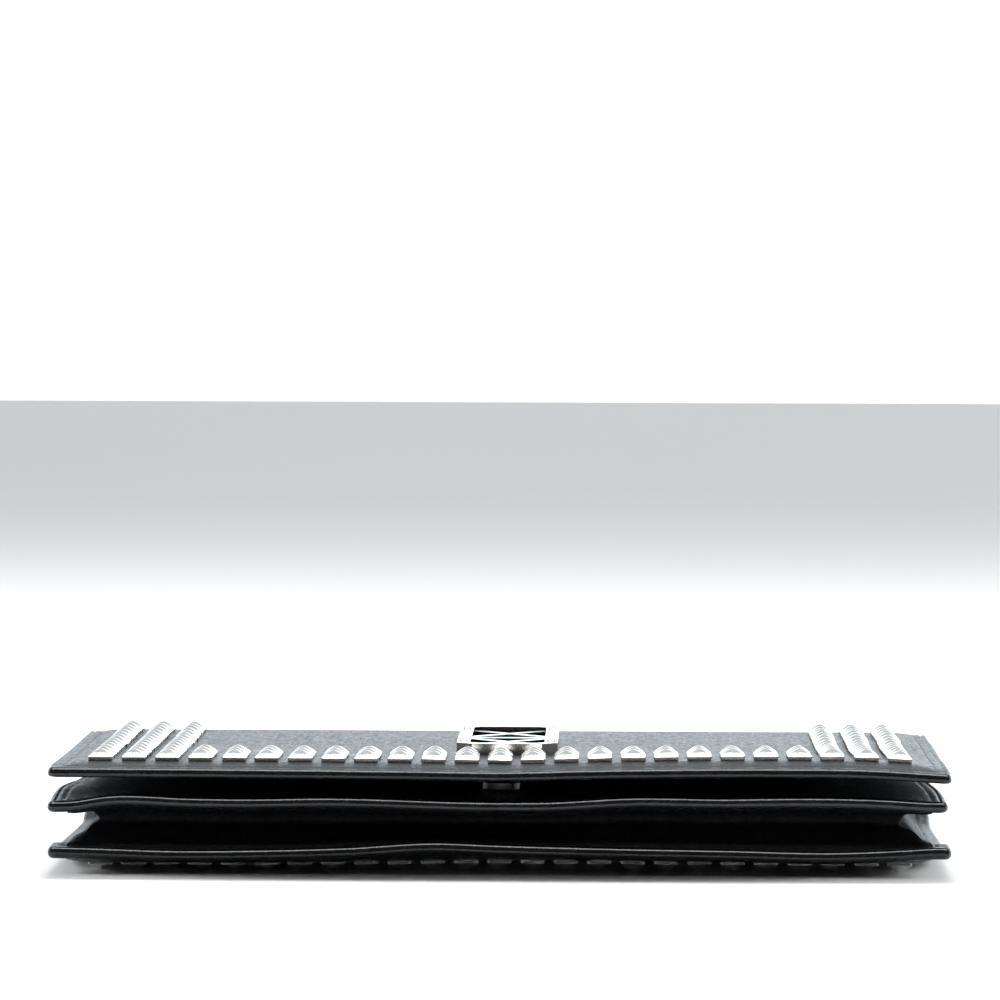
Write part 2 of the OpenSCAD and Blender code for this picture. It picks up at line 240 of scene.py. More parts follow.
class Nodes:
    """Node tree built call by call."""

    def __init__(self, tree):
        self.tree = tree

    def node(self, kind, **settings):
        node = self.tree.nodes.new(kind)
        for key, value in settings.items():
            setattr(node, key, value)
        return node

    def link(self, source, target):
        self.tree.links.new(source, target)

    def feed(self, values, sockets):
        """Sets each socket to a number, or links it to a node's output."""
        for value, socket in zip(values, sockets):
            if isinstance(value, (int, float)):
                socket.default_value = value
            else:
                self.link(value, socket)

    def maths(self, operation, *values):
        node = self.node("ShaderNodeMath", operation=operation)
        self.feed(values, node.inputs)
        return node.outputs["Value"]

    def ramp(self, value, low, high, to_low=0.0, to_high=1.0):
        """Smooth step of a value from (low, high) to (to_low, to_high)."""
        node = self.node("ShaderNodeMapRange", clamp=True, interpolation_type="SMOOTHSTEP")
        names = ("Value", "From Min", "From Max", "To Min", "To Max")
        sockets = [node.inputs[name] for name in names]
        self.feed((value, low, high, to_low, to_high), sockets)
        return node.outputs["Result"]


class Shader(Nodes):
    """Node tree of one material around its Principled BSDF."""

    def __init__(self, name, **sockets):
        self.material = bpy.data.materials.new(name)
        self.material.use_nodes = True
        super().__init__(self.material.node_tree)
        self.principled = self.tree.nodes["Principled BSDF"]
        self.coordinates = self.node("ShaderNodeTexCoord").outputs["Object"]
        for socket, value in sockets.items():
            self.principled.inputs[socket.replace("_", " ")].default_value = value

    def stretched(self, scale):
        mapping = self.node("ShaderNodeMapping")
        mapping.inputs["Scale"].default_value = scale
        self.link(self.coordinates, mapping.inputs["Vector"])
        return mapping.outputs["Vector"]

    def noise(self, size, detail=3.0, vector=None, roughness=0.5):
        """Noise whose features are about `size` millimetres."""
        node = self.node("ShaderNodeTexNoise")
        node.inputs["Scale"].default_value = 1 / (size * MM)
        node.inputs["Detail"].default_value = detail
        node.inputs["Roughness"].default_value = roughness
        self.link(vector or self.coordinates, node.inputs["Vector"])
        return node.outputs["Fac"]

    def cells(self, size, feature="DISTANCE_TO_EDGE", randomness=1.0, vector=None):
        """Voronoi cells about `size` millimetres wide."""
        node = self.node("ShaderNodeTexVoronoi", feature=feature)
        node.inputs["Scale"].default_value = 1 / (size * MM)
        node.inputs["Randomness"].default_value = randomness
        self.link(vector or self.coordinates, node.inputs["Vector"])
        return node.outputs["Distance"]

    def colour(self, factor, dark, light):
        node = self.node("ShaderNodeMix", data_type="RGBA")
        node.inputs["A"].default_value = (*dark, 1)
        node.inputs["B"].default_value = (*light, 1)
        self.link(factor, node.inputs["Factor"])
        return node.outputs["Result"]

    def bump(self, height, distance, strength=1.0, under=None):
        """Bump of `distance` millimetres, on top of another bump."""
        node = self.node("ShaderNodeBump")
        node.inputs["Distance"].default_value = distance * MM
        node.inputs["Strength"].default_value = strength
        self.link(height, node.inputs["Height"])
        if under is not None:
            self.link(under, node.inputs["Normal"])
        return node.outputs["Normal"]

    def finish(self, base=None, roughness=None, normal=None):
        for value, socket in ((base, "Base Color"), (roughness, "Roughness"), (normal, "Normal")):
            if value is not None:
                self.link(value, self.principled.inputs[socket])
        return self.material


def leather_material(name, dark, light, shine, grain=0.8, depth=0.1, specular=0.3):
    """Fine pebbled leather: `shine` is its roughness, `grain` the size of a pebble in millimetres."""
    s = Shader(name, Specular_IOR_Level=specular)
    pebbles = s.ramp(s.cells(grain), 0.0, 0.42)
    threads = s.noise(0.45, 3.0, s.stretched((0.55, 1, 1)), 0.6)
    fibres = s.noise(0.75, 3.0, s.stretched((1, 0.16, 1)), 0.6)
    large = s.noise(26.0, 2.0)
    pores = s.noise(1.5, 4.0, roughness=0.65)
    creases = s.noise(3.4, 6.0, roughness=0.72)
    shade = s.maths("MULTIPLY", pores, s.maths("ADD", large, 0.5))
    base = s.colour(s.ramp(shade, 0.3, 0.75), dark, light)
    rough = s.ramp(s.maths("ADD", pores, creases), 0.8, 1.2, shine + 0.09, shine - 0.07)
    rough = s.maths("ADD", rough, s.ramp(fibres, 0.35, 0.65, 0.05, -0.05))
    normal = s.bump(threads, 0.09, 0.8)
    normal = s.bump(fibres, 0.22, 0.9, normal)
    normal = s.bump(pebbles, depth, 0.8, normal)
    normal = s.bump(creases, 0.4, 0.7, normal)
    return s.finish(base, rough, normal)


def edge_material(name, dark, light, shine, coat):
    """Turned and polished edge of the same leather, with faint scuffs."""
    s = Shader(name, Specular_IOR_Level=0.36, Coat_Weight=coat, Coat_Roughness=0.07)
    scuffs = s.noise(1.8, 4.0, s.stretched((0.4, 1, 1)), 0.6)
    pores = s.cells(0.7)
    base = s.colour(s.ramp(scuffs, 0.35, 0.7), dark, light)
    rough = s.ramp(scuffs, 0.4, 0.8, shine, shine + 0.1)
    normal = s.bump(s.ramp(pores, 0.0, 0.3), 0.03, 0.5)
    return s.finish(base, rough, s.bump(scuffs, 0.12, 0.4, normal))


def lining_material():
    """Smooth split leather with a faint cross grain."""
    s = Shader("lining_leather", Specular_IOR_Level=0.35)
    grain = s.noise(0.5, 3.0, s.stretched((1, 2.2, 1)))
    cloud = s.noise(14.0, 2.0)
    base = s.colour(s.ramp(cloud, 0.3, 0.7), (0.011, 0.011, 0.012), (0.016, 0.0155, 0.0165))
    normal = s.bump(grain, 0.07, 0.7)
    return s.finish(base, s.ramp(grain, 0.2, 0.8, 0.5, 0.66), normal)


def metal_material(name, base, shine, scratch=0.5, dark_sides=0.0, upright=0.8):
    """Polished plate with fine hairlines and soft cloudy wear.

    `dark_sides` is how much painted shade darkens its steep faces, 0 for none; faces whose normal rises
    above `upright` get no painted shade.
    """
    s = Shader(name, Metallic=1.0)
    cloud = s.noise(3.5, 3.0)
    hair = s.noise(0.12, 2.0, s.stretched((1, 14, 1)))
    marks = s.noise(0.9, 4.0, roughness=0.7)
    dull = tuple(c * 0.86 for c in base)
    colour = s.colour(s.ramp(cloud, 0.35, 0.7), dull, base)
    # Painted shade: faces less upright than `upright` are multiplied towards dark brown, standing in for the
    # shade on rims and sides.
    if dark_sides:
        split = s.node("ShaderNodeSeparateXYZ")
        s.link(s.node("ShaderNodeTexCoord").outputs["Normal"], split.inputs[0])
        painted_side_shade = s.node("ShaderNodeMix", data_type="RGBA", blend_type="MULTIPLY")
        steep = s.ramp(split.outputs["Z"], upright - 0.45, upright, dark_sides, 0.0)
        s.link(steep, painted_side_shade.inputs["Factor"])
        s.link(colour, painted_side_shade.inputs["A"])
        painted_side_shade.inputs["B"].default_value = (0.3, 0.27, 0.24, 1)
        colour = painted_side_shade.outputs["Result"]
    worn = s.ramp(cloud, 0.3, 0.75, shine + 0.07, shine)
    rough = s.maths("ADD", worn, s.ramp(hair, 0.55, 0.8, 0.0, 0.06))
    normal = s.bump(marks, 0.05, scratch)
    return s.finish(colour, rough, normal)


def woven_material():
    """Tightly woven zip tape, its ribs about 0.4 mm apart."""
    s = Shader("woven_tape", Specular_IOR_Level=0.3, Sheen_Weight=0.25)
    ribs = s.node("ShaderNodeTexWave", bands_direction="X")
    ribs.inputs["Scale"].default_value = 1 / (0.45 * MM) / 6.28
    ribs.inputs["Distortion"].default_value = 0.6
    s.link(s.coordinates, ribs.inputs["Vector"])
    cross = s.node("ShaderNodeTexWave", bands_direction="Z")
    cross.inputs["Scale"].default_value = 1 / (0.3 * MM) / 6.28
    s.link(s.coordinates, cross.inputs["Vector"])
    weave = s.maths("MULTIPLY", ribs.outputs["Fac"], cross.outputs["Fac"])
    base = s.colour(weave, (0.008, 0.008, 0.009), (0.032, 0.032, 0.035))
    return s.finish(base, s.ramp(weave, 0, 1, 0.85, 0.7), s.bump(weave, 0.12, 1.0))


def thread_material():
    """Twisted sewing thread."""
    s = Shader("thread", Specular_IOR_Level=0.4)
    twist = s.node("ShaderNodeTexWave", bands_direction="DIAGONAL")
    twist.inputs["Scale"].default_value = 1 / (0.35 * MM) / 6.28
    s.link(s.coordinates, twist.inputs["Vector"])
    strand = twist.outputs["Fac"]
    base = s.colour(strand, (0.01, 0.01, 0.011), (0.045, 0.045, 0.048))
    return s.finish(base, s.ramp(strand, 0, 1, 0.6, 0.42), s.bump(strand, 0.06, 0.8))


def board_material():
    """Grey-brown pressed fibre board."""
    s = Shader("fibre_board")
    fibre = s.noise(0.6, 5.0, s.stretched((1, 3, 1)))
    base = s.colour(s.ramp(fibre, 0.3, 0.7), (0.26, 0.2, 0.14), (0.42, 0.35, 0.26))
    return s.finish(base, s.ramp(fibre, 0.2, 0.8, 0.75, 0.9), s.bump(fibre, 0.1, 0.7))


def foam_material():
    """Thin open foam."""
    s = Shader("thin_foam")
    pores = s.cells(0.6, "F1")
    base = s.colour(s.ramp(pores, 0.1, 0.6), (0.1, 0.1, 0.1), (0.24, 0.24, 0.24))
    return s.finish(base, s.ramp(pores, 0, 0.6, 0.95, 0.8), s.bump(pores, 0.15, 0.8))


LEATHER = leather_material(
    "pebbled_leather", (0.013, 0.0175, 0.02), (0.033, 0.0415, 0.047), shine=0.38, specular=0.45
)
EDGE_LEATHER = edge_material(
    "polished_edge", (0.006, 0.007, 0.009), (0.016, 0.018, 0.022), shine=0.13, coat=0.3
)
# Painted shade: a copy of the body leather made several times darker and duller, so the gusset deep in the
# gaps reads black; the ring tabs use it too.
SHADED_GUSSET_LEATHER = leather_material(
    "gusset_leather_painted_shade", (0.003, 0.0035, 0.0045), (0.008, 0.009, 0.011),
    shine=0.5, grain=0.55, depth=0.07, specular=0.12,
)
LINING = lining_material()
NICKEL = metal_material("polished_nickel", (0.78, 0.77, 0.75), shine=0.14)
# The flap studs and the ornament get painted shade on their steep faces.
STUD_METAL = metal_material("stud_nickel", (0.74, 0.73, 0.715), shine=0.14, dark_sides=0.8, upright=0.5)
ORNAMENT_METAL = metal_material(
    "ornament_nickel", (0.78, 0.78, 0.77), shine=0.12, scratch=0.35, dark_sides=0.8
)
# Painted shade: the snap's nickel is made dark grey because it sits in the shadow under the flap.
SHADED_SNAP_METAL = metal_material("snap_nickel_painted_shade", (0.28, 0.28, 0.28), shine=0.3)
ZIP_METAL = metal_material("zip_nickel", (0.78, 0.77, 0.75), shine=0.2)
TAPE = woven_material()
THREAD = thread_material()
BOARD = board_material()
FOAM = foam_material()


# ---- How the soft panels lie ----

# Height of the flap's free edge above its level place, from left to right
FLAP_WAVE = [(-113, 0.45), (-70, 0.4), (-20, 0.2), (0, 0.05), (24, 0.7), (72, 1.35), (90, 1.3), (113, 0.15)]
# The same for the front panel's near edge
FRONT_WAVE = [
    (-113, -0.9), (-107, -0.7), (-98, 0.62), (-77, 0.2), (-61, 0.1), (-45, 0.4), (0, -0.5),
    (12, -0.4), (34, 0.8), (56, 0.65), (78, 0.95), (92, 0.8), (108, 0.0),
]
# The same for the back panel's near edge
BACK_WAVE = [
    (-111, -0.95), (-101, -1.2), (-85, -1.7), (-60, -1.5), (-37, -0.75), (-17, 0.5), (0, 0.0),
    (32, -0.7), (56, -1.0), (86, -1.4), (100, -0.8), (109, -0.2),
]
# How far the back panel sags or rises where its near studs are
BACK_SAG = [(-113, -0.55), (-50, -0.35), (0, 0.45), (40, 0.3), (80, 0.25), (113, 0.1)]


def flap_wave(x, y):
    near = 1 - smoothstep((y - FREE_Y) / 60)
    droop = (0.62 + 0.002 * x) * (1 - smoothstep((y - FREE_Y - 1) / 9))
    return through(FLAP_WAVE, x) * near - droop + 0.16 * ripple(x, y, 70, 3) * (1 - near)


def back_wave(x, y):
    near = 1 - smoothstep((y - FREE_Y - 1) / 9)
    side = 1 - smoothstep((HALF_WIDTH - np.abs(x)) / 10.5)
    along = smoothstep((y - FREE_Y - 4) / 34) * (1 - smoothstep((y - 38) / 16))
    droop = (2.5 + 0.9 * smoothstep((y - FREE_Y) / 100)) * along
    sag = through(BACK_SAG, x) * smoothstep((y - FREE_Y - 1) / 7) * (1 - smoothstep((y + 52) / 30))
    return through(BACK_WAVE, x) * near - droop * side + sag


def front_wave(x, y):
    near = 1 - smoothstep((y - FREE_Y - 2) / 26)
    side = 1 - smoothstep((HALF_WIDTH - np.abs(x)) / 22)
    lift = 0.4 * smoothstep((y - FREE_Y - 5) / 15) * (1 - smoothstep((y - FREE_Y - 30) / 20))
    droop = 2.8 * smoothstep((y - FREE_Y - 38) / 84)
    swell = 0.25 * ripple(x, y, 60, 5) * smoothstep((y - FREE_Y - 10) / 30)
    return through(FRONT_WAVE, x) * near + (lift - droop) * side + swell


# ---- Panels ----


class Panel:
    """A leather panel over (x, s): s runs along its section, from one free edge to the other.

    mid_share: where between the inner and the outer face its rounded edge is widest
    lip_inner: how full the inner side of the edge is
    lip_round: radius of the edge
    recess: how deep the inner face is sunk for the lining
    shift: how far the panel lies to the right
    """

    mid_share = 0.303
    lip_inner = 1.0
    lip_round = 1.15
    recess = 0.45
    shift = 0.0

    def __init__(self, half_width, length):
        self.half_width = half_width
        self.length = length

    def edge_distance(self, x, s):
        """Distance to the panel's outline, which has four round corners."""
        side = self.half_width - np.abs(x)
        along = np.minimum(s, self.length - s)
        d = np.minimum(side, along)
        r = CORNER_RADIUS
        at_corner = (side < r) & (along < r)
        arc = r - np.hypot(r - side, r - along)
        return np.where(at_corner, np.maximum(arc, 0), d)

    def round_corners(self, x, s):
        """Moves grid points of the four corner squares into quarter discs."""
        r = CORNER_RADIUS
        side = self.half_width - np.abs(x)
        along = np.minimum(s, self.length - s)
        at_corner = (side < r) & (along < r)
        a = (r - side) / r
        b = (r - along) / r
        a2 = a * np.sqrt(np.maximum(1 - b * b / 2, 0)) * r
        b2 = b * np.sqrt(np.maximum(1 - a * a / 2, 0)) * r
        new_x = np.sign(x) * (self.half_width - r + a2)
        new_along = r - b2
        new_s = np.where(s < self.length / 2, new_along, self.length - new_along)
        return np.where(at_corner, new_x, x), np.where(at_corner, new_s, s)

    def point(self, x, s, outer, depth=0.0):
        """Points of the outer or inner face, `depth` under it."""
        out, inward, thickness, wave = self.section(x, s)
        d = self.edge_distance(x, s)
        groove = GROOVE_DEPTH * bell(d - STITCH_IN, GROOVE_WIDTH)
        mid = thickness * (1 - self.mid_share)
        if outer:
            lip = self.lip_share(s)
            full = lip * rounding(d / self.lip_round) + (1 - lip) * smoothstep((d - 2.2) / 7.5)
            crease = CREASE_DEPTH * bell(d - CREASE_IN, CREASE_WIDTH)
            offset = mid * (1 - full) + groove + crease + depth
        else:
            sunk = self.recess * smoothstep((d - EDGE_IN + 0.1) / 0.35)
            full = self.lip_inner * rounding(d / self.lip_round)
            full = full + (1 - self.lip_inner) * smoothstep((d - 1.5) / 6)
            offset = mid + (thickness - mid) * full - groove - sunk - depth
        y = out[0] + inward[0] * offset
        z = out[1] + inward[1] * offset + wave
        return np.stack([x + self.shift + 0 * y, y, z], -1)

    def frame_at(self, x, s, outer):
        """Point, tangent along x, tangent along s and outward normal at one place."""
        x = np.asarray(x, float)
        s = np.asarray(s, float)
        p = self.point(x, s, outer)
        along_x = self.point(x + 0.4, s, outer) - self.point(x - 0.4, s, outer)
        along_s = self.point(x, s + 0.4, outer) - self.point(x, s - 0.4, outer)
        normal = np.cross(along_x, along_s)
        if not outer:
            normal = -normal
        return p, unit(along_x), unit(along_s), unit(normal)


class Shell(Panel):
    """Flap, fold and back panel in one piece: s = 0 at the flap's free edge."""

    def __init__(self):
        self.straight = flap_high[2] - back_low[2] - 2 * FOLD_RADIUS
        self.arc = FOLD_RADIUS * math.pi / 2
        self.fold_start = PANEL_LENGTH
        self.fold_end = PANEL_LENGTH + 2 * self.arc + self.straight
        super().__init__(HALF_WIDTH + EDGE_PROUD, self.fold_end + PANEL_LENGTH)

    def lip_share(self, s):
        return 0.72 - 0.3 * smoothstep((s - self.fold_start) / (self.fold_end - self.fold_start))

    def section(self, x, s):
        r = FOLD_RADIUS
        a = np.clip((s - self.fold_start) / r, 0, math.pi / 2)
        down = np.clip(s - self.fold_start - self.arc, 0, self.straight)
        b = np.clip((s - self.fold_start - self.arc - self.straight) / r, 0, math.pi / 2)
        turned = a + b
        y = np.where(s < self.fold_start, FREE_Y + s, HINGE_Y + r * np.sin(turned))
        y = np.where(s > self.fold_end, HINGE_Y - (s - self.fold_end), y)
        z = flap_high[2] - r * (1 - np.cos(a)) - down - r * np.sin(b)
        inward = (-np.sin(turned), -np.cos(turned))
        flap_t = flap_high[2] - flap_low[2]
        back_t = back_high[2] - back_low[2]
        swell = BACK_SWELL * smoothstep((s - self.fold_end - 1) / 8)
        before_fold = 1 - smoothstep((s - self.fold_start + 1) / 7)
        after_fold = smoothstep((s - self.fold_end + 6) / 7)
        thickness = FOLD_THICKNESS + (flap_t - FOLD_THICKNESS) * before_fold
        thickness = thickness + (back_t - FOLD_THICKNESS) * after_fold + swell
        flap_part = 1 - smoothstep((s - self.fold_start + 4) / 8)
        back_part = smoothstep((s - self.fold_end - 4) / 8)
        wave = flap_wave(x, y) * flap_part + back_wave(x, y) * back_part
        return (y, z - swell), inward, thickness, wave

    def s_of(self, y, back):
        """Path length at a place y on the flap or on the back panel."""
        return self.fold_end + HINGE_Y - y if back else y - FREE_Y


class FrontPanel(Panel):
    """Front panel of the accordion body: s = 0 at the near edge."""

    mid_share = 0.5
    lip_inner = 0.95
    lip_round = 1.3
    shift = -0.5

    def __init__(self):
        super().__init__(front_high[0] + EDGE_PROUD, front_high[1] - front_low[1])

    def lip_share(self, s):
        return 1.0

    def section(self, x, s):
        y = front_low[1] + s
        z = front_high[2] + 0 * s
        thickness = front_high[2] - front_low[2] + 0 * s
        return (y, z), (0 * s, -1 + 0 * s), thickness, front_wave(x, y)


shell = Shell()
front = FrontPanel()
EDGE_LINES = [
    0, 0.03, 0.1, 0.22, 0.4, 0.62, 0.88, 1.15, 1.4, 1.6, 1.75, 1.9, 2.1, 2.6, 3.1, 3.5, 3.8, 4.1, 4.5,
    4.85, 5.05, 5.3, 6.2, 7.6, 9.3,
]


def lines_between(start, end, spacing):
    return np.linspace(start, end, max(2, round((end - start) / spacing) + 1))


def edged_lines(length, spacing):
    """Grid lines over 0..length, close together near both ends."""
    edge = np.array(EDGE_LINES)
    middle = lines_between(EDGE_LINES[-1], length - EDGE_LINES[-1], spacing)
    return np.concatenate([edge[:-1], middle, (length - edge[:-1])[::-1]])


def panel_skin(name, panel, x_spacing, s_lines, material):
    """Closed skin of a panel; its turned edge is polished, but not along the sides."""
    x_lines = edged_lines(2 * panel.half_width, x_spacing) - panel.half_width
    x, s = np.meshgrid(x_lines, s_lines)
    x, s = panel.round_corners(x, s)
    points, faces, used = closed_sheet(panel.point(x, s, True), panel.point(x, s, False))
    obj = new_object(name, points, faces.tolist(), material)
    obj.data.materials.append(EDGE_LEATHER)
    from_edge = np.tile(panel.edge_distance(x, s).ravel(), 2)[used][faces].mean(1)
    from_side = np.tile(panel.half_width - np.abs(x).ravel(), 2)[used][faces].mean(1)
    polished = (from_edge < CREASE_IN) & (from_side > from_edge + 0.4)
    obj.data.polygons.foreach_set("material_index", polished.astype(np.int32))
    return obj


def panel_layer(name, panel, s_range, inset, near, far, material):
    """Flat layer inside a panel, between two depths under its inner face, following its lie."""
    half = panel.half_width - inset
    s0, s1 = s_range
    fine = np.array([0, 0.08, 0.25, 0.5, 0.9, 2.0])
    x_lines = np.concatenate([fine, lines_between(4, 2 * half - 4, 4.2), 2 * half - fine[::-1]]) - half
    s_lines = np.concatenate([s0 + fine, lines_between(s0 + 4, s1 - 4, 4.2), s1 - fine[::-1]])
    x, s = np.meshgrid(x_lines, s_lines)
    d = np.minimum(np.minimum(half - np.abs(x), s - s0), s1 - s)
    reach = (far - near) / 2 * rounding(d / 0.5)
    out, inward, thickness, wave = panel.section(x, s)

    def face(sign):
        offset = thickness - ((near + far) / 2 + sign * reach)
        y = out[0] + inward[0] * offset
        z = out[1] + inward[1] * offset + wave
        return np.stack([x + panel.shift + 0 * y, y, z], -1)

    points, faces, _ = closed_sheet(face(1), face(-1), flip=True)
    return new_object(name, points, faces.tolist(), material)


# ---- Stitches ----


STITCH_LENGTH = 2.3
THREAD_RADIUS = 0.22
THREAD_SUNK = 0.1


def stitch_shape():
    """Points and faces of one thread stitch lying along X, its ends dipping down."""
    sides = 7
    # Share of the length from its middle, share of the radius
    stations = [(-0.5, 0.25), (-0.47, 0.7), (-0.38, 1), (0, 1.12), (0.38, 1), (0.47, 0.7), (0.5, 0.25)]
    points = []
    for along, size in stations:
        r = THREAD_RADIUS * size
        sag = THREAD_RADIUS * 1.1 * (2 * abs(along)) ** 3
        for k in range(sides):
            angle = 2 * math.pi * k / sides
            points.append((along * STITCH_LENGTH, math.cos(angle) * r, math.sin(angle) * r - sag))
    faces = []
    for i in range(len(stations) - 1):
        for k in range(sides):
            a = i * sides + k
            b = i * sides + (k + 1) % sides
            faces.append((a, a + sides, b + sides, b))
    faces.append(tuple(range(sides)))
    last = (len(stations) - 1) * sides
    faces.append(tuple(last + k for k in reversed(range(sides))))
    return np.array(points), faces


def stitch_row(shape, places, tangents, normals):
    """Points of a stitch at each place, each a little slanted."""
    copies = []
    for place_on_panel, tangent, normal in zip(places, unit(tangents), normals):
        side = unit(np.cross(normal, tangent))
        slant = 0.12 + rng.normal(0, 0.03)
        along = tangent * math.cos(slant) + side * math.sin(slant)
        across = np.cross(normal, along)
        copies.append(shape @ np.array([along, across, normal]) + place_on_panel)
    return copies


def panel_path(panel, inset, pitch=3.1):
    """Stitch places (x, s, 1 on the sides) all round a panel."""
    half = panel.half_width - inset
    corners = [(-half, inset), (half, inset), (half, panel.length - inset), (-half, panel.length - inset)]
    places = []
    for i in range(4):
        (x0, s0), (x1, s1) = corners[i], corners[(i + 1) % 4]
        length = math.hypot(x1 - x0, s1 - s0)
        count = round(length / pitch)
        for k in range(count):
            t = (k + 0.5) / count
            places.append((x0 + (x1 - x0) * t, s0 + (s1 - s0) * t, i % 2))
    return places


def panel_stitches(name, panel):
    """Thread all round a panel, on both faces, lying in its groove."""
    places = panel_path(panel, STITCH_IN)
    x = np.array([p[0] for p in places])
    s = np.array([p[1] for p in places])
    upright = np.array([p[2] for p in places])[:, None]
    shape, shape_faces = stitch_shape()
    copies = []
    for outer in (True, False):
        p, along_x, along_s, normal = panel.frame_at(x, s, outer)
        tangent = np.where(upright == 1, along_s, along_x)
        copies += stitch_row(shape, p - normal * THREAD_SUNK, tangent, normal)
    points, faces = joined(copies, shape_faces)
    return new_object(name, points, faces, THREAD)


# ---- The wallet's leather ----

fold_lines = lines_between(shell.fold_start - 4, shell.fold_end + 4, 1.25)
near_lines = np.array(EDGE_LINES)
first_row = 10.8
flap_lines = np.concatenate([near_lines, lines_between(first_row, shell.fold_start - 6, 2.075)])
shell_s = np.concatenate([flap_lines, fold_lines, (shell.length - flap_lines)[::-1]])
shell_skin = panel_skin("shell_leather", shell, 2.075, shell_s, LEATHER)

FOLD_BEND = dict(start=(0, 0.070, 0.0086), end=(0, 0.070, 0.0236))
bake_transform(shell_skin, "back", "flap", **FOLD_BEND)
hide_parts("flap_leather", "spine_leather", "back_leather")

shell_thread = panel_stitches("shell_stitching", shell)
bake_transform(shell_thread, "back", "flap", **FOLD_BEND)

front_skin = panel_skin("front_panel_leather", front, 3.0, edged_lines(front.length, 3.0), LEATHER)
place(front_skin, "front", "black_leather", "front_leather")
front_thread = panel_stitches("front_panel_stitching", front)
place(front_thread, "front", "black_leather")


# ---- Layers inside the panels ----

flap_range = (EDGE_IN, shell.fold_start + 0.5)
back_range = (shell.fold_end - 0.5, shell.length - EDGE_IN)
front_range = (EDGE_IN, front.length - EDGE_IN)
# Node, panel, stretch of its section, the two depths, material, body and slot
LAYERS = [
    ("flap_lining", shell, flap_range, 0.04, 0.7, LINING, "flap", "black_lining"),
    ("flap_board", shell, flap_range, 0.75, 1.45, BOARD, "flap", "stiffener_board"),
    ("flap_padding", shell, flap_range, 1.5, 2.1, FOAM, "flap", "foam"),
    ("back_lining", shell, back_range, 0.04, 1.1, LINING, "back", "black_lining"),
    ("back_board", shell, back_range, 1.2, 2.1, BOARD, "back", "stiffener_board"),
    ("back_padding", shell, back_range, 2.2, 3.2, FOAM, "back", "foam"),
    ("front_lining", front, front_range, 0.04, 0.8, LINING, "front", "black_lining"),
    ("front_board", front, front_range, 0.85, 2.0, BOARD, "front", "stiffener_board"),
]
for node, panel, s_range, near, far, material, body, slot in LAYERS:
    layer = panel_layer(node + "_sheet", panel, s_range, EDGE_IN + 0.05, near, far, material)
    place(layer, body, slot, node)

fold_range = (shell.fold_start + 0.7, shell.fold_end - 0.7)
spine_lining = panel_layer("spine_lining_sheet", shell, fold_range, 3.0, -0.12, 0.5, LINING)
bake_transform(spine_lining, "back", "flap", **FOLD_BEND)
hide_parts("spine_lining")


# ---- Studs ----


STUD_SEAT = 0.02
STUD_SWELL = 1.6
FLAP_RIM = 1.1
BACK_RIM = 0.75


def stud_shape(height, rim):
    """Points and faces of one pillowed pyramid stud seated at z = 0, with softened edges."""
    half = STUD_SIDE / 2
    rise = height - rim
    # Half width, height and corner radius of each ring
    rings = [
        (half - 0.14, -0.25, 0.3), (half - 0.11, 0.0, 0.3), (half, rim - 0.06, 0.32),
        (half - 0.02, rim - 0.01, 0.31), (half - 0.09, rim + 0.05, 0.3),
    ]
    for share in (0.9, 0.78, 0.65, 0.52, 0.4, 0.29, 0.2, 0.12, 0.06):
        size = half * share
        rings.append((size, rim + rise * (1 - share**STUD_SWELL) * 0.995, min(0.34, size * 0.6)))
    points = []
    per_corner = 4
    for size, z, r in rings:
        for corner in range(4):
            middle = math.pi / 4 + corner * math.pi / 2
            cx = math.copysign(size - r, math.cos(middle))
            cy = math.copysign(size - r, math.sin(middle))
            for k in range(per_corner):
                angle = corner * math.pi / 2 + k / (per_corner - 1) * math.pi / 2
                points.append((cx + r * math.cos(angle), cy + r * math.sin(angle), z))
    around = 4 * per_corner
    faces = []
    for i in range(len(rings) - 1):
        for k in range(around):
            a = i * around + k
            b = i * around + (k + 1) % around
            faces.append((a, b, b + around, a + around))
    top = len(points)
    points.append((0, 0, height))
    last = (len(rings) - 1) * around
    faces.extend((last + k, last + (k + 1) % around, top) for k in range(around))
    faces.append(tuple(reversed(range(around))))
    return np.array(points), faces


FLAP_STUD = stud_shape(STUD_HEIGHT, FLAP_RIM)
BACK_STUD = stud_shape(STUD_HEIGHT - BACK_SWELL + STUD_SEAT, BACK_RIM)


def add_studs(name, places, back, node, body):
    """Studs of one CAD node, each seated on the leather with its own slight tilt."""
    shape, shape_faces = BACK_STUD if back else FLAP_STUD
    copies = []
    for column, row in places:
        x = STUD_X0 + column * STUD_PITCH + rng.normal(0, 0.05)
        y = STUD_Y0 + row * STUD_PITCH + rng.normal(0, 0.05)
        p, along_x, along_s, normal = shell.frame_at(x, shell.s_of(y, back), True)
        tilt_x, tilt_y = rng.normal(0, 0.011), rng.normal(0, 0.011)
        turn = rng.normal(0, 0.02)
        up = unit(normal + along_x * tilt_x + along_s * tilt_y)
        right = along_x * math.cos(turn) + along_s * math.sin(turn)
        right = unit(right - up * np.dot(right, up))
        ahead = np.cross(up, right)
        # The tips of the back studs reach down to the table
        reach = (p[2] + STUD_SEAT) / shape[:, 2].max() if back else 1.0
        copies.append(shape @ np.array([right, ahead, up * reach]) + p - up * STUD_SEAT)
    points, faces = joined(copies, shape_faces)
    points[:, 2] = np.maximum(points[:, 2], 0.0)
    obj = new_object(name, points, faces, NICKEL if back else STUD_METAL)
    modifier = obj.modifiers.new("even_normals", "WEIGHTED_NORMAL")
    modifier.weight = 100
    apply_modifiers(obj)
    return place(obj, body, "silver_metal", node)


